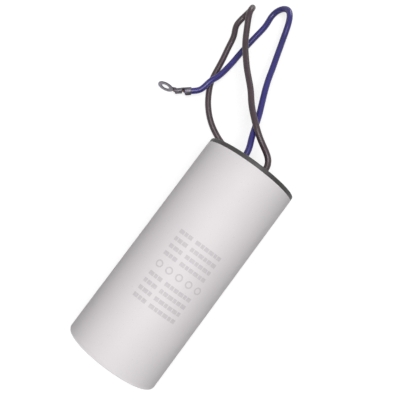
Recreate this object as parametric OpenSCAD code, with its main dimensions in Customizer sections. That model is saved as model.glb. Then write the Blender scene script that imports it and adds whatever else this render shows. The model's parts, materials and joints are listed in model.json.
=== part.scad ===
// Motor run capacitor: a plastic can with a lid, two flying leads and crimped ring terminals.
// Millimetres. The can lies on its side on the plane Z = 0, with its axis along Y and its lid towards +Y.
// The origin is on that plane, under the middle of the can.

/* [Can] */
// Outer diameter of the can
can_d = 50; // [30:1:65]
// Length over the can and its lid
can_length = 116; // [70:0.2:150]
// Thickness of the case's side wall
case_wall = 1.6; // [1.2:0.1:2.5]
// Thickness of the case's base
base_thickness = 2; // [1.5:0.1:4]
// Radius of the rounded edge round the base
base_round = 2.4; // [1:0.1:4]
// Width of the flat ring that the base stands on
foot_width = 2.6; // [1:0.1:5]
// Depth of the hollow inside that ring
foot_depth = 0.6; // [0.2:0.1:1]
// Radius of the corner between the wall and the base, on the inside
case_corner = 1; // [0.4:0.1:1.5]

/* [Lid] */
// Thickness of the lid's flange
lid_flange = 2.2; // [1.6:0.1:4]
// Radial step from the case's wall in to the lid's edge
lid_inset = 0.1; // [0:0.05:0.5]
// Radius of the lid's rounded outer edge
lid_round = 0.5; // [0.2:0.1:1]
// Width of the raised rim round the lid's face
lid_rim = 3.4; // [2:0.1:6]
// Depth of the lid's face below that rim
lid_recess = 0.8; // [0.3:0.1:1.2]
// Length of the ring under the lid that plugs into the case
spigot_length = 4; // [2:0.5:8]
// Thickness of that ring
spigot_wall = 1.5; // [1:0.1:2.5]
// Gap between that ring and the case's wall
spigot_gap = 0.1; // [0.05:0.05:0.3]
// Wall of the collar round each lead hole
collar_wall = 1.4; // [0.8:0.1:2.5]
// Width of the flare at the mouth of each lead hole
collar_flare = 0.4; // [0.2:0.1:0.6]

/* [Leads] */
// Diameter of the insulated leads
lead_d = 3.3; // [2:0.1:3.6]
// Distance between the two leads where they leave the lid
lead_spacing = 12; // [9:0.5:18]
// Diameter of the bare strands inside a lead
strand_d = 1.8; // [1:0.1:2]
// Gap between a lead and its hole in the lid
lead_gap = 0.1; // [0.05:0.05:0.3]

/* [Winding] */
// Room between the roll and the lid, for the leads' joints
head_room = 16.8; // [14:0.2:30]
// Outer diameter of the tube that the film is wound on
core_d = 10; // [6:0.5:14]
// Wall of that tube
core_wall = 1.2; // [0.8:0.1:2]
// Thickness of the sprayed zinc on each end of the roll
zinc_thickness = 0.6; // [0.3:0.1:1]
// Thickness of the film wrapped round the roll
wrap_thickness = 0.4; // [0.2:0.1:0.8]
// Height of the ring that holds the roll off the case's base
spacer_height = 3; // [3:0.2:6]

/* [Inner wiring] */
// Diameter of the wire that comes up from the far end of the roll
link_d = 0.8; // [0.5:0.1:1]
// Outer diameter of the sleeve on that wire
sleeve_d = 1.6; // [1.2:0.1:2.2]
// Gap between that wire and its sleeve
sleeve_gap = 0.05; // [0.02:0.01:0.1]
// Radius of the wire's bends
link_bend = 1.6; // [1.3:0.1:2]
// Least gap between the sleeve and what it passes
sleeve_clear = 0.2; // [0.1:0.05:0.3]
// Diameter of the ferrule that joins that wire to a lead
splice_d = 3.2; // [2.8:0.1:4]
// Length of that ferrule
splice_length = 3.8; // [3:0.1:6]
// Straight wire below that ferrule
splice_lead_in = 0.4; // [0.2:0.1:1]
// Bare strand between that ferrule and the lead's insulation
splice_bare = 0.2; // [0.1:0.1:1]
// Diameter of each mound of solder
solder_d = 5.6; // [5:0.1:6.6]
// Height of each mound of solder
solder_height = 2; // [1.9:0.1:2.4]
// Gap between each mound of solder and the core tube
solder_core_gap = 2.2; // [1.5:0.1:3]
// Gap between the lower mound of solder and the ring round it
solder_ring_gap = 1.2; // [0.8:0.1:2]

/* [Ring terminals] */
// Diameter of the screw hole
stud_hole_d = 4.3; // [3.2:0.1:5.3]
// Outer diameter of the ring
ring_d = 8.5; // [7:0.1:10]
// Thickness of the sheet
sheet = 0.5; // [0.4:0.05:0.7]
// Length of the crimp that grips the insulation
grip_length = 3.8; // [3:0.1:5]
// Gap left between the wings of that crimp
grip_slit = 0.8; // [0.4:0.1:1.5]
// Length of the gap between the two crimps
crimp_window = 1.2; // [0.9:0.1:2]
// Width of the sheet in that gap
window_width = 2.2; // [1.4:0.1:2.6]
// Length of the crimp that grips the strands
crimp_length = 4; // [3:0.1:5]
// How much wider the room in that crimp is than the round bundle of strands, at the radius
crimp_ease = 0.15; // [0.1:0.05:0.3]
// Height of that crimp's straight sides
crimp_side = 0.4; // [0.3:0.05:0.6]
// Gap between the tips of that crimp's two wings
crimp_tip_gap = 0.06; // [0.04:0.02:0.2]
// Gap between the strands and that crimp's wall
strand_gap = 0.05; // [0.02:0.01:0.1]
// Length of strand that stands out of the front of that crimp
strand_brush = 0.6; // [0.3:0.1:0.8]
// Length of the neck between that crimp and the tongue
neck_length = 0.8; // [0.8:0.1:2]
// Width of the neck
neck_width = 3.6; // [3:0.1:4.5]
// Length of flat sheet from the neck to the middle of the ring
tongue_length = 4.3; // [4.3:0.1:8]
// Radius of the tongue's bend, at the middle of the sheet
tongue_bend_r = 1; // [0.6:0.1:2]
// Angle that the blue lead's tongue is bent down by
blue_tongue_bend = 27; // [0:1:40]
// Angle that the brown lead's tongue is bent down by
brown_tongue_bend = 0; // [0:1:40]

/* [Hidden] */
$fn = 96;
// How far a cutting shape runs past the face that it cuts
over = 1;

// Radii
can_r = can_d / 2;
cavity_r = can_r - case_wall;
foot_r = can_r - base_round - foot_width;
gate_r = 1.5;
lid_r = can_r - lid_inset;
lid_face_r = lid_r - lid_rim;
spigot_r = cavity_r - spigot_gap;
spigot_bore_r = spigot_r - spigot_wall;
lead_r = lead_d / 2;
lead_x = lead_spacing / 2;
lead_hole_r = lead_r + lead_gap;
collar_r = lead_hole_r + collar_wall;
strand_r = strand_d / 2;
link_r = link_d / 2;
sleeve_r = sleeve_d / 2;
wrap_r = cavity_r - sleeve_d - 2 * sleeve_clear;
winding_r = wrap_r - wrap_thickness;
core_r = core_d / 2;
core_bore_r = core_r - core_wall;
solder_x = core_r + solder_core_gap + solder_d / 2;
solder_edge = solder_x + solder_d / 2;
spacer_r = winding_r - sleeve_clear;
spacer_bore_r = solder_edge + solder_ring_gap;

// Heights along the can's own axis, measured from the face of its base
case_top = can_length - lid_flange;
spigot_bottom = case_top - spigot_length;
spacer_top = base_thickness + spacer_height;
film_bottom = spacer_top + zinc_thickness;
roll_top = case_top - head_room;
film_top = roll_top - zinc_thickness;

// The link wire runs out under the roll, up beside it and in above it, to the ferrule under one lead
link_side = wrap_r + sleeve_clear + sleeve_r;
link_low = spacer_top - sleeve_clear - sleeve_r;
link_high = roll_top + sleeve_clear + sleeve_r;
sleeve_start = solder_edge + solder_ring_gap / 2;
sleeve_stop = lead_x + link_bend + over;
notch_width = sleeve_d + 2 * sleeve_clear;
splice_bottom = link_high + link_bend + splice_lead_in;
splice_top = splice_bottom + splice_length;
link_tip = splice_bottom + splice_length / 2;
lead_end = splice_top + splice_bare;
lead_inside = can_length - lead_end;

// Ring terminal, in its own frame: X from the end of the insulation towards the ring, Z to the wings' side
grip_r = lead_r + sheet;
grip_slope = 0.5;
crimp_room_r = strand_r + crimp_ease;
crimp_r = crimp_room_r + sheet;
floor_step = 0.02;
crimp_low = crimp_r - grip_r + floor_step;
crimp_high = crimp_low + crimp_side;
crimp_curl_r = (crimp_r - crimp_tip_gap / 2) / 2;
crimp_start = crimp_window;
crimp_end = crimp_start + crimp_length;
crimp_slope = 0.3;
neck_end = crimp_end + neck_length;
strand_stub = 0.3;

// Control points of the leads' routes: X, distance in front of the lid's face, height above the surface.
// The first four are on the lead hole's axis, and the last four are on the crimp's axis.
lid_face = can_length / 2;
blue_route = [
    [-lead_x, -lead_inside - 6, can_r], [-lead_x, -lead_inside, can_r],
    [-lead_x, 6 - lead_inside, can_r], [-lead_x, 0, can_r],
    [-lead_x - 0.5, 7, can_r], [-9, 12, 24], [-11, 18.5, 22.5], [-13, 25, 20.5], [-15.5, 31, 19],
    [-18, 37, 18], [-20.5, 44, 16.5], [-22, 50, 15], [-24, 56.5, 14], [-26, 63.5, 12.5],
    [-27.5, 68.5, 11.5], [-30, 77, 13], [-33.5, 83, 10.5], [-37.5, 83.5, 6], [-40, 80.5, 3],
    [-40.5, 76.5, lead_r], [-39.5, 71.5, 2.2], [-40.5, 64, 2.2], [-41.5, 55.5, lead_r],
    [-42, 49, lead_r], [-42, 43.5, 3], [-42.5, 37.5, 4.5], [-43.5, 31.5, 5], [-45.5, 28, 6],
    [-46, 21, 5.25], [-49.5, 18, 5.25], [-53, 15, 5.25], [-56.5, 12, 5.25]];
brown_route = [
    [lead_x, -lead_inside - 6, can_r], [lead_x, -lead_inside, can_r],
    [lead_x, 6 - lead_inside, can_r], [lead_x, 0, can_r],
    [lead_x, 6.5, can_r - 0.5], [2.5, 10.5, 24.5], [-4.5, 13.5, 26.5], [-10.5, 18, 26.5],
    [-15.5, 22.5, 25], [-20, 27, 23.5], [-23.5, 32, 22.5], [-28.5, 37, 21], [-33, 41.5, 19.5],
    [-37, 46.5, 18], [-41.5, 52, 16.5], [-45.5, 59.5, 16], [-49.5, 66.5, 17], [-50, 71.5, 13.5],
    [-50.5, 72.5, 7.5], [-52, 69, 2.2], [-53.5, 61.5, lead_r], [-50, 57, 2.6], [-49, 49.5, 2.2],
    [-47.5, 43, lead_r], [-46.5, 36, lead_r], [-45.5, 29, lead_r], [-43.5, 24.5, lead_r],
    [-40, 18.5, lead_r], [-35.5, 13.5, lead_r], [-30.5, 9.5, lead_r], [-24.5, 6.5, lead_r],
    [-19, 4.5, lead_r], [-13, 4, grip_r], [-7, 4, grip_r], [-1, 4, grip_r], [5, 4, grip_r]];
lead_sides = 8;
// How far each terminal is rolled about its lead
blue_roll = -74;
brown_roll = 0;

// A point of a uniform cubic B-spline at each knot, and its direction there
function knots(c) = [for (i = [0 : len(c) - 3]) (c[i] + 4 * c[i + 1] + c[i + 2]) / 6];
function headings(c) = [for (i = [0 : len(c) - 3]) (c[i + 2] - c[i]) / norm(c[i + 2] - c[i])];

// A side vector for each knot, carried along the curve without twisting
function carried(directions, side, i = 0) =
    let (flat = side - (side * directions[i]) * directions[i], unit = flat / norm(flat))
    i == len(directions) - 1 ? [unit] : concat([unit], carried(directions, unit, i + 1));

// A ring of points round each knot
function tube_points(c, r, sides) =
    let (centres = knots(c), directions = headings(c), across = carried(directions, [1, 0, 0]))
    [for (i = [0 : len(centres) - 1], k = [0 : sides - 1])
        let (turn = 360 * (k + 0.5) / sides)
        centres[i] + r * (cos(turn) * across[i] + sin(turn) * cross(directions[i], across[i]))];

// Triangles between the rings, and a flat cap on each end
function tube_faces(rings, sides) = concat(
    [for (i = [0 : rings - 2], k = [0 : sides - 1])
        [i * sides + k, (i + 1) * sides + k, i * sides + (k + 1) % sides]],
    [for (i = [0 : rings - 2], k = [0 : sides - 1])
        [(i + 1) * sides + k, (i + 1) * sides + (k + 1) % sides, i * sides + (k + 1) % sides]],
    [[for (k = [0 : sides - 1]) k]],
    [[for (k = [sides - 1 : -1 : 0]) (rings - 1) * sides + k]]);

module lead_tube(route) {
    translate([0, lid_face, 0])
        polyhedron(tube_points(route, lead_r, lead_sides), tube_faces(len(route) - 2, lead_sides));
}

// Lays what is drawn standing on its base into the row's frame, with the lid end towards +Y
module laid() {
    translate([0, -can_length / 2, can_r]) rotate([-90, 0, 0]) children();
}

module ring(outer, inner, bottom, top) {
    translate([0, 0, bottom]) difference() {
        cylinder(r = outer, h = top - bottom);
        translate([0, 0, -over]) cylinder(r = inner, h = top - bottom + 2 * over);
    }
}

module rod(r, bottom, top) {
    translate([0, 0, bottom]) cylinder(r = r, h = top - bottom);
}

module rod_at(x, r, bottom, top) {
    translate([x, 0, 0]) rod(r, bottom, top);
}

// Half of a cross-section, to be turned about the axis, with its lower outer corner rounded
module half_section(r, bottom, top, corner) {
    translate([0, bottom + corner]) square([r, top - bottom - corner]);
    translate([0, bottom]) square([r - corner, top - bottom]);
    translate([r - corner, bottom + corner]) circle(corner);
}

// The space inside the case, up to the lid
module cavity() {
    rotate_extrude() half_section(cavity_r, base_thickness, case_top, case_corner);
}

module case() {
    color("#dcdad8") laid() difference() {
        rotate_extrude() half_section(can_r, 0, case_top, base_round);
        cavity();
        rod(cavity_r, case_top - over, case_top + over);
        ring(foot_r, gate_r, -over, foot_depth);
        rod(gate_r, -over, foot_depth / 2);
    }
}

module lid() {
    color("#4a4848") laid() difference() {
        union() {
            difference() {
                rotate_extrude() translate([0, case_top + can_length]) mirror([0, 1])
                    half_section(lid_r, case_top, can_length, lid_round);
                rod(lid_face_r, can_length - lid_recess, can_length + over);
            }
            for (side = [-1, 1]) rod_at(side * lead_x, collar_r, case_top, can_length);
            ring(spigot_r, spigot_bore_r, spigot_bottom, case_top);
        }
        for (side = [-1, 1]) {
            rod_at(side * lead_x, lead_hole_r, case_top - over, can_length + over);
            translate([side * lead_x, 0, can_length - collar_flare])
                cylinder(r1 = lead_hole_r, r2 = lead_hole_r + 2 * collar_flare, h = 2 * collar_flare);
        }
    }
}

// Resin fills what the other pieces leave of the case
module resin_fill() {
    color("#2e2c2a") laid() difference() {
        cavity();
        ring(can_r, spigot_bore_r, spigot_bottom, case_top + over);
        spacer_ring();
        ring(winding_r, core_bore_r, spacer_top, roll_top);
        ring(wrap_r, core_r, film_bottom, film_top);
        wire_path(link_r);
        sleeve_path(sleeve_r);
        solder_mound(-solder_x, roll_top, 0);
        solder_mound(solder_x, spacer_top, 180);
        blue_tail_shape();
        rod_at(lead_x, splice_d / 2, splice_bottom, splice_top);
        rod_at(lead_x, strand_r, splice_top, lead_end);
        for (side = [-1, 1]) rod_at(side * lead_x, lead_r, lead_end, case_top + over);
    }
}

// A ring with a notch for the sleeved wire
module spacer_ring() {
    difference() {
        ring(spacer_r, spacer_bore_r, base_thickness, spacer_top);
        translate([0, -notch_width / 2, link_low - notch_width / 2])
            cube([can_r, notch_width, spacer_height]);
    }
}

module base_spacer() {
    color("#c9c4b4") laid() spacer_ring();
}

module bottom_contact() {
    color("#8f9193") laid() ring(winding_r, core_r, spacer_top, film_bottom);
}

module winding() {
    color("#b9bcc4") laid() ring(winding_r, core_r, film_bottom, film_top);
}

module top_contact() {
    color("#8f9193") laid() ring(winding_r, core_r, film_top, roll_top);
}

module core_tube() {
    color("#d8d4c6") laid() ring(core_r, core_bore_r, spacer_top, roll_top);
}

module outer_wrap() {
    color("#d9dde0") laid() ring(wrap_r, winding_r, film_bottom, film_top);
}

// A straight rod from one distance from the axis to another, at a height
module spoke(r, from, to, height) {
    translate([from, 0, height]) rotate([0, 90, 0]) cylinder(r = r, h = to - from);
}

// A quarter bend round a centre in the XZ plane, which starts at an angle from X
module quarter_bend(r, x, z, start) {
    translate([x, 0, z]) rotate([90, 0, 0]) rotate([0, 0, start])
        rotate_extrude(angle = 90) translate([link_bend, 0]) circle(r);
}

// From one distance on the lower run, out, up beside the roll, and in to another on the upper run
module bracket_path(r, from, to) {
    corner = link_side - link_bend;
    spoke(r, from, corner, link_low);
    quarter_bend(r, corner, link_low + link_bend, 270);
    rod_at(link_side, r, link_low + link_bend, link_high - link_bend);
    quarter_bend(r, corner, link_high - link_bend, 0);
    spoke(r, to, corner, link_high);
}

module sleeve_path(r) {
    bracket_path(r, sleeve_start, sleeve_stop);
}

module wire_path(r) {
    bracket_path(r, solder_x, lead_x + link_bend);
    quarter_bend(r, lead_x + link_bend, link_high + link_bend, 180);
    rod_at(lead_x, r, link_high + link_bend, link_tip);
}

module link_wire() {
    color("#b8b9ba") laid() wire_path(link_r);
}

module link_sleeve() {
    color("#d8c48a") laid() difference() {
        sleeve_path(sleeve_r);
        wire_path(link_r + sleeve_gap);
    }
}

module splice_ferrule() {
    color("#b4b5b7") laid() difference() {
        rod_at(lead_x, splice_d / 2, splice_bottom, splice_top);
        rod_at(lead_x, link_r, splice_bottom - over, link_tip);
        rod_at(lead_x, strand_r, link_tip, splice_top + over);
    }
}

module brown_tail() {
    color("#b0653c") laid() rod_at(lead_x, strand_r, link_tip, lead_end);
}

// Straight down out of the insulation, then sloping to the mound of solder on the roll
module blue_tail_shape() {
    knee = lead_end - strand_d * 2 / 3;
    foot = roll_top + solder_height / 2;
    reach = solder_x - lead_x;
    rod_at(-lead_x, strand_r, knee, lead_end);
    translate([-lead_x, 0, knee]) {
        sphere(strand_r);
        rotate([0, 180 + atan2(reach, knee - foot), 0])
            cylinder(r = strand_r, h = norm([reach, knee - foot]));
    }
}

module blue_tail() {
    color("#b0653c") laid() blue_tail_shape();
}

// A cap of a ball, on a face at a height
module solder_mound(x, height, tip) {
    ball_r = (solder_d ^ 2 / 4 + solder_height ^ 2) / (2 * solder_height);
    translate([x, 0, height]) rotate([tip, 0, 0]) intersection() {
        translate([0, 0, solder_height - ball_r]) sphere(ball_r);
        cylinder(r = solder_d, h = solder_height + over);
    }
}

module top_solder() {
    color("#9c9ea0") laid() difference() {
        solder_mound(-solder_x, roll_top, 0);
        blue_tail_shape();
    }
}

module bottom_solder() {
    color("#9c9ea0") laid() difference() {
        solder_mound(solder_x, spacer_top, 180);
        wire_path(link_r);
    }
}

module blue_lead() {
    color("#403c80") lead_tube(blue_route);
}

module brown_lead() {
    color("#594b50") lead_tube(brown_route);
}

// Puts what is drawn in a terminal's own frame on the end of a lead
module on_lead_end(route, roll) {
    last = len(route) - 1;
    way = route[last] - route[last - 1];
    translate([0, lid_face, 0] + route[last - 1])
        rotate([roll, 0, atan2(way[1], way[0])]) children();
}

// Draws a cross-section, given as seen from the ring's end, along X
module along(start, stop) {
    translate([start, 0, 0]) rotate([90, 0, 90]) linear_extrude(stop - start) children();
}

// The side view of a pair of wings, which slope in at both ends above a height
module wing_outline(start, stop, low, high, slope) {
    rotate([90, 0, 0]) linear_extrude(4 * grip_r, center = true)
        polygon([[start, -grip_r - over], [stop, -grip_r - over], [stop, low],
                 [stop - slope, high], [start + slope, high], [start, low]]);
}

// Section of the crimp round the insulation: two wings that almost meet
module grip_section() {
    difference() {
        circle(grip_r);
        circle(lead_r);
        translate([-grip_slit / 2, 0]) square([grip_slit, grip_r + over]);
    }
}

// Section of the sheet between the two crimps
module window_section() {
    intersection() {
        grip_section();
        translate([-window_width / 2, -grip_r]) square([window_width, grip_r]);
    }
}

// Section of the room for the strands in their crimp, or of the strands themselves, with a gap
module strand_section(gap) {
    room = crimp_room_r - gap;
    intersection() {
        translate([0, crimp_low]) circle(room);
        translate([-room, crimp_low - room]) square([2 * room, room]);
    }
    translate([-room, crimp_low]) square([2 * room, crimp_side - gap]);
}

// Section of the round floor of the crimp on the strands
module trough_section() {
    intersection() {
        translate([0, crimp_low]) circle(crimp_r);
        translate([-crimp_r, crimp_low - crimp_r]) square([2 * crimp_r, crimp_r]);
    }
}

// Section of that crimp: a round floor, straight sides, and two wings curled in and down on the strands
module crimp_section() {
    difference() {
        union() {
            trough_section();
            translate([-crimp_r, crimp_low]) square([2 * crimp_r, crimp_side]);
            for (side = [-1, 1]) translate([side * (crimp_r - crimp_curl_r), crimp_high]) circle(crimp_curl_r);
        }
        strand_section(0);
        for (side = [-1, 1])
            translate([side * (crimp_r - crimp_curl_r), crimp_high]) circle(crimp_curl_r - sheet);
    }
}

// A round bundle that slopes down from the end of the insulation, and is pressed flat in its crimp
module strands() {
    intersection() {
        rotate([0, 90 + atan2(-crimp_low, crimp_start), 0])
            translate([0, 0, -crimp_start]) cylinder(r = strand_r, h = 3 * crimp_start);
        translate([0, -lead_r, -2 * lead_r]) cube([crimp_start - strand_gap, lead_d, 2 * lead_d]);
    }
    along(crimp_start - strand_stub, crimp_end + strand_brush) strand_section(strand_gap);
}

// The ring and the sheet behind it, flat, from the end of the neck's bend
module tongue(reach) {
    linear_extrude(sheet) difference() {
        intersection() {
            union() {
                translate([reach, 0]) circle(ring_d / 2);
                translate([0, -neck_width / 2]) square([reach, neck_width]);
            }
            translate([0, -ring_d]) square([2 * ring_d, 2 * ring_d]);
        }
        translate([reach, 0]) circle(stud_hole_d / 2);
    }
}

// One folded sheet: two crimps, a neck and a ring, whose tongue is bent down by an angle
module terminal(bend) {
    floor_z = -grip_r;
    trough_drop = crimp_r - sheet;
    intersection() {
        along(-grip_length, 0) grip_section();
        wing_outline(-grip_length, 0, -lead_r / 2, grip_r, grip_slope);
    }
    along(-over / 2, crimp_start + over / 2) window_section();
    intersection() {
        along(crimp_start, crimp_end) crimp_section();
        wing_outline(crimp_start, crimp_end, crimp_low, crimp_high + crimp_curl_r, crimp_slope);
    }
    difference() {
        along(crimp_end - crimp_slope, neck_end) trough_section();
        along(crimp_end - over, neck_end + over) strand_section(0);
        translate([crimp_end, 0, crimp_low]) rotate([0, atan2(trough_drop, neck_length), 0])
            translate([0, -grip_r, 0]) cube(2 * grip_r);
    }
    translate([0, 0, floor_z]) linear_extrude(sheet)
        polygon([[crimp_end - over, -window_width / 2], [neck_end, -neck_width / 2],
                 [neck_end, neck_width / 2], [crimp_end - over, window_width / 2]]);
    translate([neck_end, 0, floor_z + sheet / 2 - tongue_bend_r]) {
        if (bend > 0) rotate([90, 0, 0]) rotate([0, 0, 90 - bend])
            rotate_extrude(angle = bend)
                translate([tongue_bend_r - sheet / 2, -neck_width / 2]) square([sheet, neck_width]);
        rotate([0, bend, 0]) translate([0, 0, tongue_bend_r - sheet / 2])
            tongue(tongue_length - tongue_bend_r * bend * PI / 180);
    }
}

module blue_strands() {
    color("#a4583a") on_lead_end(blue_route, blue_roll) strands();
}

module brown_strands() {
    color("#a4583a") on_lead_end(brown_route, brown_roll) strands();
}

module blue_terminal() {
    color("#aeb0b2") on_lead_end(blue_route, blue_roll) terminal(blue_tongue_bend);
}

module brown_terminal() {
    color("#aeb0b2") on_lead_end(brown_route, brown_roll) terminal(brown_tongue_bend);
}

case();
lid();
resin_fill();
base_spacer();
bottom_contact();
winding();
top_contact();
core_tube();
outer_wrap();
link_wire();
link_sleeve();
splice_ferrule();
top_solder();
bottom_solder();
blue_tail();
brown_tail();
blue_lead();
brown_lead();
blue_strands();
brown_strands();
blue_terminal();
brown_terminal();
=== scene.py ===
import json
import math

import bmesh
import bpy
from mathutils import Matrix, Vector


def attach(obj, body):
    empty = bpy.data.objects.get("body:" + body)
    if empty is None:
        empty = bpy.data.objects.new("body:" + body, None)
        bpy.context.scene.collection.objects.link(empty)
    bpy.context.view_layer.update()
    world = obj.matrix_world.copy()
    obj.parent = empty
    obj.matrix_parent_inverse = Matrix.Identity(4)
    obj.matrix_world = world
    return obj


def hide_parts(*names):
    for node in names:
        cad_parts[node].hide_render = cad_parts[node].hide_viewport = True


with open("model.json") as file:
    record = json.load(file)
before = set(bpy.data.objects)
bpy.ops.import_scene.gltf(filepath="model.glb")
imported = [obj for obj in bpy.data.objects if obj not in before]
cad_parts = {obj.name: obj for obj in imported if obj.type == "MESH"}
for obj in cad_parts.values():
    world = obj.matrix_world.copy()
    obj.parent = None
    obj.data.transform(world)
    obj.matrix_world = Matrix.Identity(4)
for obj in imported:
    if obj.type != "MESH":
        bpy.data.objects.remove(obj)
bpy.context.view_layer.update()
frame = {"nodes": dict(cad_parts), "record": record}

MM = 0.001

# The can, in millimetres. The case's profile turns along a circle of the path radius.
CAN_R = 25.0
CAN_LENGTH = 116.0
LID_FLANGE = 2.2
LID_FACE = CAN_LENGTH / 2
CASE_WALL = 1.6
BASE_THICKNESS = 2.0
BASE_ROUND = 2.4
FOOT_R = 20.0
FOOT_DEPTH = 0.6
GATE_R = 1.5
INNER_CORNER = 1.0
EDGE_ROUND = 0.15
PATH_R = 1.0
CASE_SIDES = 224

# The leads and their terminals, in millimetres. Places along a terminal are counted from the end
# of the lead's insulation: the tin carries painted shade, full as far as FULL_SHADE_TO, and none
# from SHADE_FREE_FROM on.
LEAD_R = 1.65
LEAD_X = 6.0
LEAD_INSIDE = 12.0
LEAD_SIDES = 28
LEAD_STEPS = 7
SHEET = 0.5
SHEET_EDGE_ROUND = 0.06
GRIP_R = LEAD_R + SHEET
FULL_SHADE_TO = 5.0
NECK_END = 6.0
SHADE_FREE_FROM = 8.0

# The copper strands: steps along each wire, sides round it, and the turn from each to the next
WIRE_STEPS = 26
WIRE_SIDES = 8
GOLDEN_ANGLE = 2.39996

# Points nearer to each other than this, in metres, are one point. Edges sharper than these angles
# are shaded as edges.
WELD_WITHIN = 0.000001
SHARP_FROM = math.radians(35)
WIRE_SHARP_FROM = math.radians(50)

# Control points of each lead's route: X, distance in front of the lid's face, and height above
# the surface that the can lies on
BLUE_ROUTE = [
    (-LEAD_X, -LEAD_INSIDE - 6, CAN_R), (-LEAD_X, -LEAD_INSIDE, CAN_R),
    (-LEAD_X, 6 - LEAD_INSIDE, CAN_R), (-LEAD_X, 0, CAN_R),
    (-LEAD_X - 0.5, 7, CAN_R), (-9, 12, 24), (-11, 18.5, 22.5), (-13, 25, 20.5), (-15.5, 31, 19),
    (-18, 37, 18), (-20.5, 44, 16.5), (-22, 50, 15), (-24, 56.5, 14), (-26, 63.5, 12.5),
    (-27.5, 68.5, 11.5), (-30, 77, 13), (-33.5, 83, 10.5), (-37.5, 83.5, 6), (-40, 80.5, 3),
    (-40.5, 76.5, LEAD_R), (-39.5, 71.5, 2.2), (-40.5, 64, 2.2), (-41.5, 55.5, LEAD_R),
    (-42, 49, LEAD_R), (-42, 43.5, 3), (-42.5, 37.5, 4.5), (-43.5, 31.5, 5), (-45.5, 28, 6),
    (-46, 21, 5.25), (-49.5, 18, 5.25), (-53, 15, 5.25), (-56.5, 12, 5.25)]
BROWN_ROUTE = [
    (LEAD_X, -LEAD_INSIDE - 6, CAN_R), (LEAD_X, -LEAD_INSIDE, CAN_R),
    (LEAD_X, 6 - LEAD_INSIDE, CAN_R), (LEAD_X, 0, CAN_R),
    (LEAD_X, 6.5, CAN_R - 0.5), (2.5, 10.5, 24.5), (-4.5, 13.5, 26.5), (-10.5, 18, 26.5),
    (-15.5, 22.5, 25), (-20, 27, 23.5), (-23.5, 32, 22.5), (-28.5, 37, 21), (-33, 41.5, 19.5),
    (-37, 46.5, 18), (-41.5, 52, 16.5), (-45.5, 59.5, 16), (-49.5, 66.5, 17), (-50, 71.5, 13.5),
    (-50.5, 72.5, 7.5), (-52, 69, 2.2), (-53.5, 61.5, LEAD_R), (-50, 57, 2.6), (-49, 49.5, 2.2),
    (-47.5, 43, LEAD_R), (-46.5, 36, LEAD_R), (-45.5, 29, LEAD_R), (-43.5, 24.5, LEAD_R),
    (-40, 18.5, LEAD_R), (-35.5, 13.5, LEAD_R), (-30.5, 9.5, LEAD_R), (-24.5, 6.5, LEAD_R),
    (-19, 4.5, LEAD_R), (-13, 4, GRIP_R), (-7, 4, GRIP_R), (-1, 4, GRIP_R), (5, 4, GRIP_R)]

# Each terminal's turn about its lead, and the bend of its tongue
BLUE_ROLL = math.radians(-74)
BROWN_ROLL = 0.0
BLUE_TONGUE_BEND = math.radians(27)
BROWN_TONGUE_BEND = 0.0

# The camera: its lens, sensor, place and target in millimetres, and its turn about its own axis
CAMERA_LENS = 56.55
CAMERA_SENSOR = 36.0
CAMERA_PLACE = (-4.47, 8.13, 335.78)
CAMERA_TARGET = (-11.26, 30.0, 25.0)
CAMERA_TURN = math.radians(36.65)

# The studio. A lamp has its place, the point that it faces and its width in metres, and its power
# in watts. The floor's glow grows from near the object to far from it, at distances in metres.
LAMPS = {
    "overhead": ((0.02, 0.03, 0.95), (0, 0, 0), 0.6, 7.4),
    "lid_fill": ((-0.15, 1.3, 0.25), (0, 0, 0.02), 0.5, 6.0),
    "base_fill": ((0.15, -1.3, 0.25), (0, 0, 0.02), 0.5, 6.0),
}
WORLD_LEVEL = 0.06
FLOOR_COLOUR = (0.34, 0.34, 0.34, 1)
FLOOR_HALF = 3.0
FLOOR_DROP = 0.00005
GLOW_NEAR, GLOW_NEAR_AT = 0.745, 0.15
GLOW_FAR, GLOW_FAR_AT = 0.98, 0.9


def linear(colour):
    """A colour written as #rrggbb, in the linear values that a shader takes."""
    parts = [int(colour[i:i + 2], 16) / 255 for i in (1, 3, 5)]
    return tuple(p / 12.92 if p < 0.04045 else ((p + 0.055) / 1.055) ** 2.4
                 for p in parts) + (1.0,)


def new_object(name, data):
    piece = bpy.data.objects.new(name, data)
    bpy.context.scene.collection.objects.link(piece)
    return piece


def add_node(tree, kind, **settings):
    made = tree.nodes.new(kind)
    for key, value in settings.items():
        setattr(made, key, value)
    return made


def set_inputs(node, **values):
    """Sets a node's inputs by name, with _ for a space."""
    for name, value in values.items():
        node.inputs[name.replace("_", " ")].default_value = value


# ---------------------------------------------------------------- camera

def aim_camera():
    """Looks down on the can from above, with the top of the view towards the leads' loops."""
    data = bpy.data.cameras.new("Camera")
    data.lens = CAMERA_LENS
    data.sensor_width = CAMERA_SENSOR
    data.clip_start = 0.01
    data.clip_end = 20.0
    place = Vector(CAMERA_PLACE) * MM
    back = (place - Vector(CAMERA_TARGET) * MM).normalized()
    lean = Vector((-math.sin(CAMERA_TURN), math.cos(CAMERA_TURN), 0.0))
    right = lean.cross(back).normalized()
    axes = Matrix((right, back.cross(right), back)).transposed().to_4x4()
    camera = new_object("Camera", data)
    camera.matrix_world = Matrix.Translation(place) @ axes
    bpy.context.scene.camera = camera


aim_camera()


# ---------------------------------------------------------------- finishes

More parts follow.
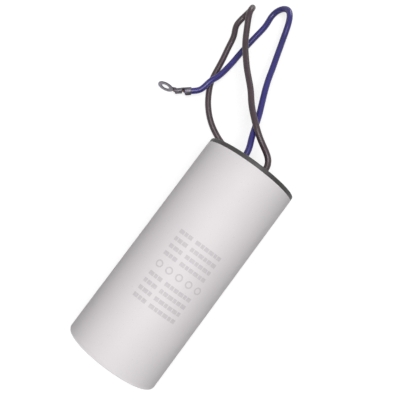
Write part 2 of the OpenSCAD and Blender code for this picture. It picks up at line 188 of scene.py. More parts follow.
class Recipe:
    """A material being made: its nodes, its shader, and short ways to add patterns to it."""

    def __init__(self, name, metallic=0.0, specular=0.5):
        self.material = bpy.data.materials.new(name)
        self.material.use_nodes = True
        self.tree = self.material.node_tree
        self.tree.nodes.clear()
        output = self.node("ShaderNodeOutputMaterial")
        self.shader = self.node("ShaderNodeBsdfPrincipled")
        set_inputs(self.shader, Metallic=metallic, Specular_IOR_Level=specular)
        self.link(self.shader.outputs["BSDF"], output.inputs["Surface"])
        self.coordinates = self.node("ShaderNodeTexCoord")
        self.normal = None

    def node(self, kind, **settings):
        return add_node(self.tree, kind, **settings)

    def link(self, source, target):
        self.tree.links.new(source, target)

    def place(self, scale=(1, 1, 1), offset=(0, 0, 0), source="Object"):
        """Coordinates on the object, or on its UV map, stretched and then moved."""
        mapping = self.node("ShaderNodeMapping", vector_type="POINT")
        set_inputs(mapping, Location=offset, Scale=scale)
        self.link(self.coordinates.outputs[source], mapping.inputs["Vector"])
        return mapping.outputs["Vector"]

    def kept(self, name):
        """A value kept on the piece's own points."""
        made = self.node("ShaderNodeAttribute", attribute_type="GEOMETRY", attribute_name=name)
        return made.outputs["Fac"]

    def noise(self, where, scale, detail, roughness=0.5):
        made = self.node("ShaderNodeTexNoise")
        set_inputs(made, Scale=scale, Detail=detail, Roughness=roughness)
        self.link(where, made.inputs["Vector"])
        return made.outputs["Fac"]

    def turns(self, where, scale):
        """Fine rings about the Y axis."""
        made = self.node("ShaderNodeTexWave", wave_type="RINGS", rings_direction="Y")
        set_inputs(made, Scale=scale)
        self.link(where, made.inputs["Vector"])
        return made.outputs["Fac"]

    def between(self, value, low, high, low_out, high_out):
        """Maps a pattern's value from one range to another, held inside it."""
        made = self.node("ShaderNodeMapRange", clamp=True)
        set_inputs(made, From_Min=low, From_Max=high, To_Min=low_out, To_Max=high_out)
        self.link(value, made.inputs["Value"])
        return made.outputs["Result"]

    def patches(self, where, scale, detail, low, high, most=1.0, roughness=0.5):
        """Soft patches: 0 where a noise is under low, and most where it is over high."""
        return self.between(self.noise(where, scale, detail, roughness), low, high, 0.0, most)

    def blend(self, factor, first, second):
        """A mix of two colours, each written as #rrggbb or taken from another node."""
        made = self.node("ShaderNodeMix", data_type="RGBA")
        self.link(factor, made.inputs["Factor"])
        for socket, colour in ((made.inputs[6], first), (made.inputs[7], second)):
            if isinstance(colour, str):
                socket.default_value = linear(colour)
            else:
                self.link(colour, socket)
        return made.outputs[2]

    def colour(self, source):
        self.link(source, self.shader.inputs["Base Color"])

    def roughness(self, where, scale, detail, least, most):
        """A roughness that wanders between two values."""
        wander = self.between(self.noise(where, scale, detail), 0.3, 0.7, least, most)
        self.link(wander, self.shader.inputs["Roughness"])

    def relief(self, height, depth, strength):
        """Adds a bump, with its depth in metres, on top of the bumps added before it."""
        made = self.node("ShaderNodeBump")
        set_inputs(made, Strength=strength, Distance=depth)
        self.link(height, made.inputs["Height"])
        if self.normal is not None:
            self.link(self.normal, made.inputs["Normal"])
        self.normal = made.outputs["Normal"]
        self.link(self.normal, self.shader.inputs["Normal"])

    def grain(self, where, scale, depth, strength):
        """Adds a fine grain to the relief."""
        self.relief(self.noise(where, scale, 2.0), depth, strength)


def case_plastic():
    """White moulded plastic: nearly even, with a fine grain and faint draw marks along the can."""
    r = Recipe("case_plastic", specular=0.2)
    here = r.place()
    along = r.place(scale=(1.0, 0.06, 1.0))
    base = r.blend(r.patches(here, 26, 2.0, 0.35, 0.65), "#e6e1e3", "#e1dddf")
    speck = r.patches(here, 1400, 1.0, 0.70, 0.78, most=0.35)
    r.colour(r.blend(speck, base, "#c4bfc0"))
    r.roughness(here, 120, 3.0, 0.50, 0.58)
    r.grain(here, 2400, 0.00001, 0.5)
    r.grain(along, 420, 0.00001, 0.15)
    return r.material


def lid_plastic():
    """Dark grey moulded plastic with a finer sheen, and paler scuffs."""
    r = Recipe("lid_plastic", specular=0.3)
    here = r.place()
    base = r.blend(r.patches(here, 90, 3.0, 0.35, 0.65), "#3f3d3d", "#474545")
    scuff = r.patches(here, 700, 4.0, 0.62, 0.72, most=0.4, roughness=0.7)
    r.colour(r.blend(scuff, base, "#5c5959"))
    r.roughness(here, 260, 3.0, 0.42, 0.6)
    r.grain(here, 3200, 0.00002, 0.5)
    return r.material


def insulation(name, middle, pale, dark):
    """Extruded lead insulation: fine lines along the lead, faint bands and rubbed patches."""
    r = Recipe(name, specular=0.4)
    around = r.place(scale=(1.0, 0.02, 1.0), source="UV")
    run = r.place(source="UV")
    base = r.blend(r.patches(run, 70, 3.0, 0.3, 0.7), middle, dark)
    rub = r.patches(run, 480, 4.0, 0.58, 0.75, most=0.5, roughness=0.65)
    r.colour(r.blend(rub, base, pale))
    r.roughness(run, 220, 3.0, 0.26, 0.4)
    r.grain(around, 2600, 0.00002, 0.5)
    r.grain(run, 900, 0.00002, 0.3)
    return r.material


def terminal_tin():
    """Dull tin plate on stamped sheet: rolling lines, small stains and a soft mottle, and darker
    over the crimp barrels, where painted shade stands in for the dim surroundings they reflect."""
    r = Recipe("terminal_tin", metallic=1.0)
    here = r.place()
    rolled = r.place(scale=(0.15, 1.0, 1.0))
    mottle = r.patches(here, 900, 3.0, 0.3, 0.7)
    stain = r.patches(here, 380, 4.0, 0.58, 0.72, most=0.6, roughness=0.6)
    plain = r.blend(stain, r.blend(mottle, "#858189", "#6b6770"), "#625455")
    # Painted shade: a darker tin for the crimp barrels, in place of darker reflections there.
    shaded_tin = r.blend(mottle, "#67636b", "#4f4b52")
    r.colour(r.blend(r.kept("crimped"), plain, shaded_tin))
    r.roughness(here, 700, 3.0, 0.36, 0.52)
    r.grain(rolled, 5200, 0.00001, 0.6)
    return r.material


def sheared_edge():
    """The sheared edge of the terminals' sheet: darker and rougher than its plated faces, and
    darkened further with painted shade.
    """
    r = Recipe("sheared_edge", metallic=0.8)
    here = r.place()
    # Partly painted shade: these dark tones stand for the bare sheared metal and also for shade
    # along the sheet's edge.
    r.colour(r.blend(r.patches(here, 1500, 3.0, 0.3, 0.7), "#454045", "#343034"))
    r.roughness(here, 2400, 2.0, 0.42, 0.6)
    r.grain(here, 5200, 0.00001, 0.6)
    return r.material


def bare_copper():
    """Fine copper wire, dulled all over and darkened in patches."""
    r = Recipe("bare_copper", metallic=1.0)
    here = r.place()
    r.colour(r.blend(r.patches(here, 1300, 3.0, 0.35, 0.65), "#6d5a54", "#4d3f3b"))
    r.roughness(here, 2200, 2.0, 0.28, 0.44)
    r.grain(here, 6000, 0.00001, 0.4)
    return r.material


def print_ink():
    """Thin faint grey print that lets the grain of the case show."""
    r = Recipe("print_ink", specular=0.3)
    here = r.place()
    thin = r.patches(here, 1700, 3.0, 0.35, 0.7, roughness=0.6)
    r.colour(r.blend(thin, "#cbc5c8", "#d6d1d4"))
    r.roughness(here, 700, 2.0, 0.5, 0.62)
    r.grain(here, 2400, 0.00001, 0.5)
    return r.material


def hidden_finish(name, pale, dark, grain, depth, roughness, metallic=0.0, stretch=(1, 1, 1)):
    """A plain finish for a piece inside the can: two tones, an uneven sheen and a grain."""
    r = Recipe(name, metallic=metallic)
    here = r.place(scale=stretch)
    r.colour(r.blend(r.patches(here, grain / 6, 3.0, 0.3, 0.7), pale, dark))
    r.roughness(here, grain / 2, 2.0, *roughness)
    r.grain(here, grain, depth, 0.6)
    return r.material


def wound_film():
    """The edges of a wound film's turns, as fine rings about the can's axis."""
    r = Recipe("wound_film", metallic=0.4)
    turns = r.turns(r.place(offset=(0, 0, -CAN_R * MM)), 420)
    r.colour(r.blend(turns, "#b9bcc6", "#999da9"))
    r.roughness(r.place(), 500, 2.0, 0.3, 0.45)
    r.relief(turns, 0.00002, 0.5)
    return r.material


# Finishes of the pieces inside the can, each under its slot's name
INNER_FINISHES = {
    "potting_resin": dict(pale="#302d2b", dark="#262322", grain=600, depth=0.00003,
                          roughness=(0.2, 0.35)),
    "spacer_plastic": dict(pale="#cbc6b6", dark="#bdb7a4", grain=900, depth=0.00002,
                           roughness=(0.5, 0.65)),
    "sprayed_zinc": dict(pale="#9b9d9f", dark="#7d7f82", grain=2400, depth=0.00008,
                         roughness=(0.5, 0.75), metallic=0.9),
    "core_plastic": dict(pale="#dad6c9", dark="#ccc7b7", grain=800, depth=0.00002,
                         roughness=(0.4, 0.55), stretch=(1, 0.1, 1)),
    "wrap_film": dict(pale="#dde1e4", dark="#ccd2d6", grain=500, depth=0.00002,
                      roughness=(0.15, 0.3), stretch=(1, 0.2, 1)),
    "tinned_copper": dict(pale="#c0c1c3", dark="#a5a6a8", grain=2600, depth=0.00001,
                          roughness=(0.25, 0.4), metallic=1.0),
    "sleeve_plastic": dict(pale="#d9c68c", dark="#cbb577", grain=1500, depth=0.00001,
                           roughness=(0.45, 0.6)),
    "solder": dict(pale="#a9abad", dark="#8b8d90", grain=1800, depth=0.00003,
                   roughness=(0.2, 0.4), metallic=1.0),
}
FINISHES = {
    "case_plastic": case_plastic(),
    "lid_plastic": lid_plastic(),
    "blue_insulation": insulation("blue_insulation", "#342c7c", "#4a4398", "#292463"),
    "brown_insulation": insulation("brown_insulation", "#4a3a41", "#64525a", "#3a2d33"),
    "terminal_tin": terminal_tin(),
    "sheared_edge": sheared_edge(),
    "copper": bare_copper(),
    "print_ink": print_ink(),
    "film": wound_film(),
}
FINISHES.update({slot: hidden_finish(slot, **look) for slot, look in INNER_FINISHES.items()})


def finish_nodes():
    """Gives each CAD node the finish of its slot in the record."""
    slots = {part["node"]: part["material_slot"] for part in frame["record"]["subparts"]}
    for name, piece in frame["nodes"].items():
        piece.data.materials.clear()
        piece.data.materials.append(FINISHES[slots[name]])


finish_nodes()


# ---------------------------------------------------------------- leads

def smooth_route(points, steps):
    """Points along the uniform cubic B-spline that the control points draw, in metres."""
    shift = Vector((0, LID_FACE, 0))
    control = [(Vector(p) + shift) * MM for p in points]
    run = []
    for i in range(len(control) - 3):
        a, b, c, d = control[i:i + 4]
        last = i == len(control) - 4
        for k in range(steps + (1 if last else 0)):
            t = k / steps
            run.append(((1 - t) ** 3 * a + (3 * t ** 3 - 6 * t ** 2 + 4) * b
                        + (-3 * t ** 3 + 3 * t ** 2 + 3 * t + 1) * c + t ** 3 * d) / 6)
    return run


def lead_tube(name, route, material):
    """A round tube along a route, with a UV map in metres: round the lead, then along it."""
    run = smooth_route(route, LEAD_STEPS)
    ways = [(run[min(i + 1, len(run) - 1)] - run[max(i - 1, 0)]).normalized()
            for i in range(len(run))]
    side = Vector((1, 0, 0))
    mesh = bmesh.new()
    uv = mesh.loops.layers.uv.new("UVMap")
    rings, travelled = [], [0.0]
    for i, (centre, way) in enumerate(zip(run, ways)):
        side = (side - side.dot(way) * way).normalized()
        other = way.cross(side)
        ring = []
        for k in range(LEAD_SIDES):
            turn = math.tau * k / LEAD_SIDES
            spoke = math.cos(turn) * side + math.sin(turn) * other
            ring.append(mesh.verts.new(centre + LEAD_R * MM * spoke))
        rings.append(ring)
        if i:
            travelled.append(travelled[-1] + (centre - run[i - 1]).length)
    side_width = math.tau * LEAD_R * MM / LEAD_SIDES
    for i in range(len(rings) - 1):
        for k in range(LEAD_SIDES):
            n = (k + 1) % LEAD_SIDES
            face = mesh.faces.new((rings[i][k], rings[i][n], rings[i + 1][n], rings[i + 1][k]))
            corners = ((k, i), (k + 1, i), (k + 1, i + 1), (k, i + 1))
            for loop, (u, v) in zip(face.loops, corners):
                loop[uv].uv = (side_width * u, travelled[v])
            face.smooth = True
    mesh.faces.new(reversed(rings[0]))
    mesh.faces.new(rings[-1])
    bmesh.ops.recalc_face_normals(mesh, faces=mesh.faces)
    data = bpy.data.meshes.new(name)
    mesh.to_mesh(data)
    mesh.free()
    data.materials.append(material)
    return new_object(name, data), run


blue_lead, blue_run = lead_tube("blue_lead_insulation", BLUE_ROUTE,
                                FINISHES["blue_insulation"])
brown_lead, brown_run = lead_tube("brown_lead_insulation", BROWN_ROUTE,
                                  FINISHES["brown_insulation"])


# ---------------------------------------------------------------- Geometry Nodes helpers

class Tree:
    """A Geometry Nodes tree being made, with named inputs for its sizes."""

    def __init__(self, name):
        self.tree = bpy.data.node_groups.new(name, "GeometryNodeTree")
        face = self.tree.interface
        face.new_socket("Geometry", in_out="INPUT", socket_type="NodeSocketGeometry")
        face.new_socket("Geometry", in_out="OUTPUT", socket_type="NodeSocketGeometry")
        self.start = self.tree.nodes.new("NodeGroupInput")
        self.end = self.tree.nodes.new("NodeGroupOutput")
        self.values = {}

    def size(self, name, value, kind="NodeSocketFloat"):
        """A named input with its value, as an output to link from."""
        socket = self.tree.interface.new_socket(name, in_out="INPUT", socket_type=kind)
        self.values[socket.identifier] = value
        return next(s for s in self.start.outputs if s.identifier == socket.identifier)

    def node(self, kind, **settings):
        return add_node(self.tree, kind, **settings)

    def put(self, source, target):
        """Links an output to an input, or sets the input to a value."""
        if isinstance(source, bpy.types.NodeSocket):
            self.tree.links.new(source, target)
        else:
            target.default_value = source

    def make(self, kind, settings=(), **inputs):
        """A node with its inputs linked or set by name, with _ for a space. Gives its first
        output."""
        made = self.node(kind, **dict(settings))
        for name, value in inputs.items():
            self.put(value, made.inputs[name.replace("_", " ")])
        return made.outputs[0]

    def sum(self, operation, first, second=0.0):
        made = self.node("ShaderNodeMath", operation=operation)
        for value, socket in zip((first, second), made.inputs):
            self.put(value, socket)
        return made.outputs[0]

    def split(self, vector):
        made = self.node("ShaderNodeSeparateXYZ")
        self.put(vector, made.inputs[0])
        return made.outputs

    def join(self, x, y, z):
        made = self.node("ShaderNodeCombineXYZ")
        for value, socket in zip((x, y, z), made.inputs):
            self.put(value, socket)
        return made.outputs[0]

    def finish(self, geometry, material):
        """Ends the tree in Realize Instances and Set Material."""
        real = self.make("GeometryNodeRealizeInstances", Geometry=geometry)
        painted = self.make("GeometryNodeSetMaterial", Geometry=real, Material=material)
        self.put(painted, self.end.inputs[0])

    def run_on(self, name, seed_mesh):
        """Runs the tree on a seed mesh and returns the result as a plain mesh."""
        holder = new_object(name + "_seed", seed_mesh)
        modifier = holder.modifiers.new("Nodes", "NODES")
        modifier.node_group = self.tree
        for identifier, value in self.values.items():
            modifier[identifier] = value
        graph = bpy.context.evaluated_depsgraph_get()
        result = bpy.data.meshes.new_from_object(holder.evaluated_get(graph))
        result.name = name
        holder.modifiers.clear()
        bpy.data.objects.remove(holder)
        return result


def seed(points, edges=()):
    mesh = bpy.data.meshes.new("seed")
    mesh.from_pydata([Vector(p) for p in points], list(edges), [])
    return mesh


# ---------------------------------------------------------------- case

def arc(x, y, radius, start, stop, steps):
    """Points on a rounded corner, from one angle to another."""
    turns = [math.radians(start + (stop - start) * i / steps) for i in range(steps + 1)]
    return [(x + radius * math.cos(t), y + radius * math.sin(t)) for t in turns]


def straight(x1, y1, x2, y2, step):
    """Points between two ends, which are left out."""
    count = max(1, round(math.hypot(x2 - x1, y2 - y1) / step))
    return [(x1 + (x2 - x1) * i / count, y1 + (y2 - y1) * i / count) for i in range(1, count)]


def case_profile():
    """The case's wall from the middle of its base outside, round the rim, to the middle inside.
    Each point is a radius and a height above the base, in millimetres."""
    top = CAN_LENGTH - LID_FLANGE
    inner = CAN_R - CASE_WALL
    edge = EDGE_ROUND
    corner = INNER_CORNER
    return (
        [(0, FOOT_DEPTH / 2)] + arc(GATE_R - edge, FOOT_DEPTH / 2 + edge, edge, -90, 0, 3)
        + [(GATE_R, FOOT_DEPTH)] + straight(GATE_R, FOOT_DEPTH, FOOT_R, FOOT_DEPTH, 3)
        + [(FOOT_R, FOOT_DEPTH)] + arc(FOOT_R + edge, edge, edge, 180, 270, 3)
        + arc(CAN_R - BASE_ROUND, BASE_ROUND, BASE_ROUND, -90, 0, 12)
        + straight(CAN_R, BASE_ROUND, CAN_R, top - edge, 4)
        + arc(CAN_R - edge, top - edge, edge, 0, 90, 3)
        + arc(inner + edge, top - edge, edge, 90, 180, 3)
        + straight(inner, top - edge, inner, BASE_THICKNESS + corner, 4)
        + arc(inner - corner, BASE_THICKNESS + corner, corner, 0, -90, 6)
        + straight(inner - corner, BASE_THICKNESS, 0, BASE_THICKNESS, 4)
        + [(0, BASE_THICKNESS)])


def turned_tree(material):
    """Turns a profile round the can's axis, along a small circle. The profile is drawn nearer to
    the axis by the circle's radius."""
    t = Tree("turned_wall")
    path_r = t.size("Path Radius", PATH_R * MM)
    sides = t.size("Sides", CASE_SIDES, "NodeSocketInt")
    height = t.size("Axis Height", CAN_R * MM)
    profile = t.make("GeometryNodeMeshToCurve", Mesh=t.start.outputs[0])
    path = t.make("GeometryNodeCurvePrimitiveCircle", dict(mode="RADIUS"), Resolution=sides,
                  Radius=path_r)
    swept = t.make("GeometryNodeCurveToMesh", Curve=path, Profile_Curve=profile)
    wall = t.make("GeometryNodeMergeByDistance", Geometry=swept, Distance=WELD_WITHIN)
    laid = t.make("GeometryNodeTransform", Geometry=wall, Translation=t.join(0.0, 0.0, height),
                  Rotation=(math.radians(90), 0, 0))
    t.finish(laid, material)
    return t


def outward(mesh):
    """Turns a closed mesh's faces outwards."""
    work = bmesh.new()
    work.from_mesh(mesh)
    bmesh.ops.recalc_face_normals(work, faces=work.faces)
    work.to_mesh(mesh)
    work.free()


def turned_piece(name, profile, material):
    """A piece turned round the can's axis from a profile in millimetres."""
    shift = CAN_LENGTH / 2
    points = [((r - PATH_R) * MM, (y - shift) * MM, 0) for r, y in profile]
    edges = [(i, i + 1) for i in range(len(points) - 1)]
    mesh = turned_tree(material).run_on(name, seed(points, edges))
    outward(mesh)
    mesh.shade_smooth()
    mesh.set_sharp_from_angle(angle=SHARP_FROM)
    return new_object(name, mesh)


case = turned_piece("case_shell", case_profile(), FINISHES["case_plastic"])


# ---------------------------------------------------------------- print

# Plain shapes in a layout of their own: two blocks of rows of bars, with a row of rings between
# them. Sizes are in millimetres, and places are round the case and along it from its middle.
BAR_LENGTHS = (2.6, 1.7, 2.2)
BAR_GAP = 0.35
BAR_COLUMNS = ((-10.0, 3), (-0.8, 6))
BLOCK_TOPS = (11.8, -11.4)
BLOCK_ROWS = 4
ROW_PITCH = 4.0
RING_ROW = -5.8
RING_START = -8.4
RING_PITCH = 5.6
RING_COUNT = 5
RING_SIDES = 40
BAR_STEPS_ALONG = 9
BAR_STEPS_ACROSS = 3


def bar_row(height, start, count, first):
    """Bars in a row, each as its middle round the case, its height along it and its length. The
    lengths repeat, beginning with the first one asked for."""
    bars, x = [], start
    for i in range(count):
        length = BAR_LENGTHS[(first + i) % len(BAR_LENGTHS)]
        bars.append((x + length / 2, height, length))
        x += length + BAR_GAP
    return bars


def print_tree(material):
    """Lays plain bars and plain rings on the case's wall, and wraps them round it.
    A point whose bar_length is 0 gets a ring."""
    t = Tree("printed_bars")
    radius = t.size("Case Radius", CAN_R * MM)
    bar_height = t.size("Bar Height", 2.0 * MM)
    thickness = t.size("Ink Thickness", 0.03 * MM)
    ring_r = t.size("Ring Radius", 1.5 * MM)
    ring_width = t.size("Ring Width", 0.7 * MM)
    points = t.make("GeometryNodeMeshToPoints", Mesh=t.start.outputs[0])
    length = t.make("GeometryNodeInputNamedAttribute", dict(data_type="FLOAT"), Name="bar_length")
    is_bar = t.sum("GREATER_THAN", length, 0.0)
    bar = t.make("GeometryNodeMeshCube", Size=(1.0, 1.0, 1.0), Vertices_X=BAR_STEPS_ALONG,
                 Vertices_Y=BAR_STEPS_ACROSS)
    bars = t.make("GeometryNodeInstanceOnPoints", Points=points, Selection=is_bar, Instance=bar,
                  Scale=t.join(length, bar_height, thickness))
    circle = t.make("GeometryNodeCurvePrimitiveCircle", dict(mode="RADIUS"),
                    Resolution=RING_SIDES, Radius=ring_r)
    band = t.make("GeometryNodeCurvePrimitiveQuadrilateral", dict(mode="RECTANGLE"),
                  Width=ring_width, Height=thickness)
    ring = t.make("GeometryNodeCurveToMesh", Curve=circle, Profile_Curve=band)
    rings = t.make("GeometryNodeInstanceOnPoints", Points=points,
                   Selection=t.sum("SUBTRACT", 1.0, is_bar), Instance=ring)
    both = t.node("GeometryNodeJoinGeometry")
    t.put(bars, both.inputs["Geometry"])
    t.put(rings, both.inputs["Geometry"])
    real = t.make("GeometryNodeRealizeInstances", Geometry=both.outputs["Geometry"])
    x, y, z = t.split(t.make("GeometryNodeInputPosition"))
    turn = t.sum("DIVIDE", x, radius)
    reach = t.sum("ADD", radius, z)
    wrapped = t.join(t.sum("MULTIPLY", reach, t.sum("SINE", turn)), y,
                     t.sum("ADD", radius, t.sum("MULTIPLY", reach, t.sum("COSINE", turn))))
    t.finish(t.make("GeometryNodeSetPosition", Geometry=real, Position=wrapped), material)
    return t


def printed_bars():
    bars = [(RING_START + RING_PITCH * i, RING_ROW, 0.0) for i in range(RING_COUNT)]
    for top in BLOCK_TOPS:
        for row in range(BLOCK_ROWS):
            for start, count in BAR_COLUMNS:
                bars += bar_row(top - ROW_PITCH * row, start, count, row)
    mesh = seed([(x * MM, y * MM, 0) for x, y, _ in bars])
    lengths = mesh.attributes.new("bar_length", "FLOAT", "POINT")
    for item, (_, _, length) in zip(lengths.data, bars):
        item.value = length * MM
    made = print_tree(FINISHES["print_ink"]).run_on("printed_bars", mesh)
    outward(made)
    made.shade_flat()
    return new_object("printed_bars", made)


bars = printed_bars()


# ---------------------------------------------------------------- terminals

def lead_end(route, roll):
    """The frame of a lead's end: X on from the insulation, Z to the side of the crimp's wings."""
    end = Vector(route[-2]) + Vector((0, LID_FACE, 0))
    way = Vector(route[-1]) - Vector(route[-2])
    turn = Matrix.Rotation(math.atan2(way.y, way.x), 4, "Z") @ Matrix.Rotation(roll, 4, "X")
    return Matrix.Translation(end * MM) @ turn


def strand_tree(material):
    """A bundle of fine wires that leaves the insulation round and is pressed flat in its crimp."""
    t = Tree("copper_strands")
    wires = t.size("Wires", 30, "NodeSocketInt")
    bundle = t.size("Bundle Radius", 0.76 * MM)
    wire_r = t.size("Wire Radius", 0.13 * MM)
    length = t.size("Length", 6.2 * MM)
    lead_in = t.size("Start Inside", -0.4 * MM)
    sink = t.size("Sink In Crimp", -0.905 * MM)
    press = t.size("Press In Crimp", 0.24)
    slope = t.size("Slope Length", 1.2 * MM)
    twist = t.size("Twist Per Metre", 420.0)
    uneven = t.size("Uneven Ends", 0.035)
    pattern = t.size("Seed", 11, "NodeSocketInt")
    index = t.make("GeometryNodeInputIndex")
    share = t.sum("DIVIDE", t.sum("ADD", index, 0.5), wires)
    spread = t.sum("MULTIPLY", bundle, t.sum("SQRT", share))
    turn = t.sum("MULTIPLY", index, GOLDEN_ANGLE)
    section = t.join(0.0, t.sum("MULTIPLY", spread, t.sum("COSINE", turn)),
                     t.sum("MULTIPLY", spread, t.sum("SINE", turn)))
    points = t.make("GeometryNodePoints", Count=wires, Position=section)
    step = t.sum("DIVIDE", length, WIRE_STEPS - 1.0)
    line = t.make("GeometryNodeMeshLine", dict(mode="OFFSET"), Count=WIRE_STEPS,
                  Start_Location=t.join(lead_in, 0.0, 0.0), Offset=t.join(step, 0.0, 0.0))
    chance = t.node("FunctionNodeRandomValue", data_type="FLOAT")
    t.put(t.sum("SUBTRACT", 1.0, uneven), chance.inputs[2])
    t.put(t.sum("ADD", 1.0, uneven), chance.inputs[3])
    t.put(pattern, chance.inputs["Seed"])
    copies = t.make("GeometryNodeInstanceOnPoints", Points=points, Instance=line,
                    Scale=t.join(chance.outputs[1], 1.0, 1.0))
    real = t.make("GeometryNodeRealizeInstances", Geometry=copies)
    here = t.make("GeometryNodeInputPosition")
    x = t.split(here)[0]
    twisted = t.make("ShaderNodeVectorRotate", dict(rotation_type="X_AXIS"), Vector=here,
                     Angle=t.sum("MULTIPLY", x, twist))
    _, y, z = t.split(twisted)
    down = t.make("ShaderNodeMapRange", dict(interpolation_type="SMOOTHSTEP"), Value=x,
                  From_Min=0.0, From_Max=slope)
    pressed = t.sum("MULTIPLY", z, t.sum("SUBTRACT", 1.0, t.sum("MULTIPLY", press, down)))
    settled = t.sum("ADD", pressed, t.sum("MULTIPLY", sink, down))
    moved = t.make("GeometryNodeSetPosition", Geometry=real, Position=t.join(x, y, settled))
    paths = t.make("GeometryNodeMeshToCurve", Mesh=moved)
    ring = t.make("GeometryNodeCurvePrimitiveCircle", dict(mode="RADIUS"),
                  Resolution=WIRE_SIDES, Radius=wire_r)
    t.finish(t.make("GeometryNodeCurveToMesh", Curve=paths, Profile_Curve=ring, Fill_Caps=True),
             material)
    return t


def strands(name, where):
    mesh = strand_tree(FINISHES["copper"]).run_on(name, seed([(0, 0, 0)]))
    mesh.transform(where)
    outward(mesh)
    mesh.shade_smooth()
    mesh.set_sharp_from_angle(angle=WIRE_SHARP_FROM)
    return new_object(name, mesh)


def rounded_copy(node, name, width):
    """A copy of a CAD node's shape with its sharp edges rounded over, by a width in millimetres."""
    mesh = frame["nodes"][node].data.copy()
    mesh.name = name
    work = bmesh.new()
    work.from_mesh(mesh)
    bmesh.ops.remove_doubles(work, verts=work.verts, dist=WELD_WITHIN)
    bmesh.ops.dissolve_limit(work, angle_limit=math.radians(0.5), verts=work.verts,
                             edges=work.edges)
    work.to_mesh(mesh)
    work.free()
    mesh.shade_smooth()
    piece = new_object(name, mesh)
    bevel = piece.modifiers.new("Bevel", "BEVEL")
    bevel.width = width * MM
    bevel.segments = 2
    bevel.limit_method = "ANGLE"
    bevel.angle_limit = math.radians(40)
    graph = bpy.context.evaluated_depsgraph_get()
    result = bpy.data.meshes.new_from_object(piece.evaluated_get(graph))
    piece.modifiers.clear()
    piece.data = result
    result.name = name
    result.shade_smooth()
    result.set_sharp_from_angle(angle=SHARP_FROM)
    return piece


def terminal(node, name, where, bend):
    """A ring terminal whose sheared edges show darker than the plated faces of its sheet, partly
    with painted shade, and whose points keep how much painted shade the tin takes there."""
    piece = rounded_copy(node, name, SHEET_EDGE_ROUND)
    mesh = piece.data
    mesh.materials.clear()
    mesh.materials.append(FINISHES["terminal_tin"])
    mesh.materials.append(FINISHES["sheared_edge"])
    inside = where.inverted()
    turn = inside.to_3x3()
    tongue_normal = Vector((math.sin(bend), 0, math.cos(bend)))
    for face in mesh.polygons:
        normal = turn @ face.normal
        if (inside @ face.center).x > NECK_END * MM:
            sheared = abs(normal.dot(tongue_normal)) < 0.5
        else:
            sheared = abs(normal.x) > 0.5
        face.material_index = 1 if sheared else 0
    # How much painted shade each point takes: full up to FULL_SHADE_TO, none from SHADE_FREE_FROM
    # on.
    crimped = mesh.attributes.new("crimped", "FLOAT", "POINT")
    for item, point in zip(crimped.data, mesh.vertices):
        left = SHADE_FREE_FROM - (inside @ point.co).x / MM
        item.value = min(1.0, max(0.0, left / (SHADE_FREE_FROM - FULL_SHADE_TO)))
    return piece


blue_end = lead_end(BLUE_ROUTE, BLUE_ROLL)
brown_end = lead_end(BROWN_ROUTE, BROWN_ROLL)
blue_strands = strands("blue_lead_strands", blue_end)
brown_strands = strands("brown_lead_strands", brown_end)
blue_terminal = terminal("blue_terminal", "blue_ring_terminal", blue_end, BLUE_TONGUE_BEND)
brown_terminal = terminal("brown_terminal", "brown_ring_terminal", brown_end, BROWN_TONGUE_BEND)


# ---------------------------------------------------------------- riding, and hiding the replaced CAD nodes

def stands_for(piece, slot, *nodes):
    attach(piece, "root")
    if nodes:
        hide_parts(*nodes)


stands_for(case, "case_plastic", "case")
stands_for(bars, "print_ink")
stands_for(blue_lead, "blue_insulation", "blue_lead")
stands_for(brown_lead, "brown_insulation", "brown_lead")
stands_for(blue_strands, "copper", "blue_strands")
stands_for(brown_strands, "copper", "brown_strands")
stands_for(blue_terminal, "terminal_tin", "blue_terminal")
stands_for(brown_terminal, "terminal_tin", "brown_terminal")


# ---------------------------------------------------------------- floor and light

def seen_directly(tree):
    """1 for a ray from the camera, or one that a shiny or clear surface sends on."""
    path = add_node(tree, "ShaderNodeLightPath")
    total = path.outputs["Is Camera Ray"]
    for name in ("Is Glossy Ray", "Is Transmission Ray"):
        more = add_node(tree, "ShaderNodeMath", operation="MAXIMUM")
        tree.links.new(total, more.inputs[0])
        tree.links.new(path.outputs[name], more.inputs[1])
        total = more.outputs[0]
    return total


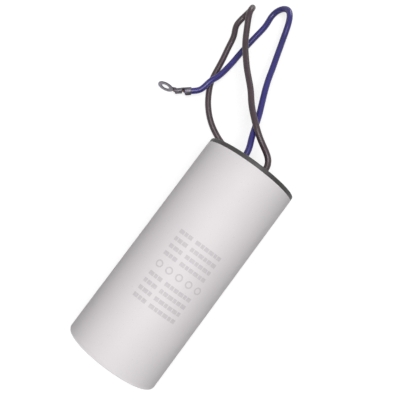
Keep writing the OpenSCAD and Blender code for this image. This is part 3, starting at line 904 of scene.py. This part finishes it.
def floor_paint():
    """Pale and matt, with a glow that shows it white and leaves a soft shadow on it."""
    material = bpy.data.materials.new("studio_floor")
    material.use_nodes = True
    tree = material.node_tree
    tree.nodes.clear()
    matt = add_node(tree, "ShaderNodeBsdfDiffuse")
    set_inputs(matt, Color=FLOOR_COLOUR)
    where = add_node(tree, "ShaderNodeTexCoord")
    far = add_node(tree, "ShaderNodeVectorMath", operation="LENGTH")
    tree.links.new(where.outputs["Object"], far.inputs[0])
    fade = add_node(tree, "ShaderNodeMapRange")
    set_inputs(fade, From_Min=GLOW_NEAR_AT, From_Max=GLOW_FAR_AT, To_Min=GLOW_NEAR, To_Max=GLOW_FAR)
    tree.links.new(far.outputs["Value"], fade.inputs["Value"])
    level = add_node(tree, "ShaderNodeMath", operation="MULTIPLY")
    tree.links.new(fade.outputs["Result"], level.inputs[0])
    tree.links.new(seen_directly(tree), level.inputs[1])
    glow = add_node(tree, "ShaderNodeEmission")
    tree.links.new(level.outputs[0], glow.inputs["Strength"])
    both = add_node(tree, "ShaderNodeAddShader")
    tree.links.new(matt.outputs[0], both.inputs[0])
    tree.links.new(glow.outputs[0], both.inputs[1])
    output = add_node(tree, "ShaderNodeOutputMaterial")
    tree.links.new(both.outputs[0], output.inputs["Surface"])
    return material


def white_floor():
    half = FLOOR_HALF
    mesh = bpy.data.meshes.new("floor")
    mesh.from_pydata([(-half, -half, 0), (half, -half, 0), (half, half, 0), (-half, half, 0)],
                     [], [(0, 1, 2, 3)])
    mesh.materials.append(floor_paint())
    floor = new_object("floor", mesh)
    floor.location.z = -FLOOR_DROP


def soft_light(name, place, target, size, power):
    data = bpy.data.lights.new(name, "AREA")
    data.shape = "DISK"
    data.size = size
    data.energy = power
    lamp = new_object(name, data)
    lamp.location = place
    way = Vector(target) - Vector(place)
    lamp.rotation_euler = way.to_track_quat("-Z", "Y").to_euler()


def studio_world():
    """Even light from all round at a low level, behind which the background shows white."""
    world = bpy.data.worlds.new("studio")
    bpy.context.scene.world = world
    world.use_nodes = True
    tree = world.node_tree
    tree.nodes.clear()
    mix = add_node(tree, "ShaderNodeMapRange")
    set_inputs(mix, To_Min=WORLD_LEVEL, To_Max=1.0)
    tree.links.new(seen_directly(tree), mix.inputs["Value"])
    sky = add_node(tree, "ShaderNodeBackground")
    set_inputs(sky, Color=(1, 1, 1, 1))
    tree.links.new(mix.outputs["Result"], sky.inputs["Strength"])
    output = add_node(tree, "ShaderNodeOutputWorld")
    tree.links.new(sky.outputs[0], output.inputs["Surface"])


white_floor()
studio_world()
for name, (place, target, size, power) in LAMPS.items():
    soft_light(name, place, target, size, power)

bpy.context.scene.view_settings.view_transform = "Standard"
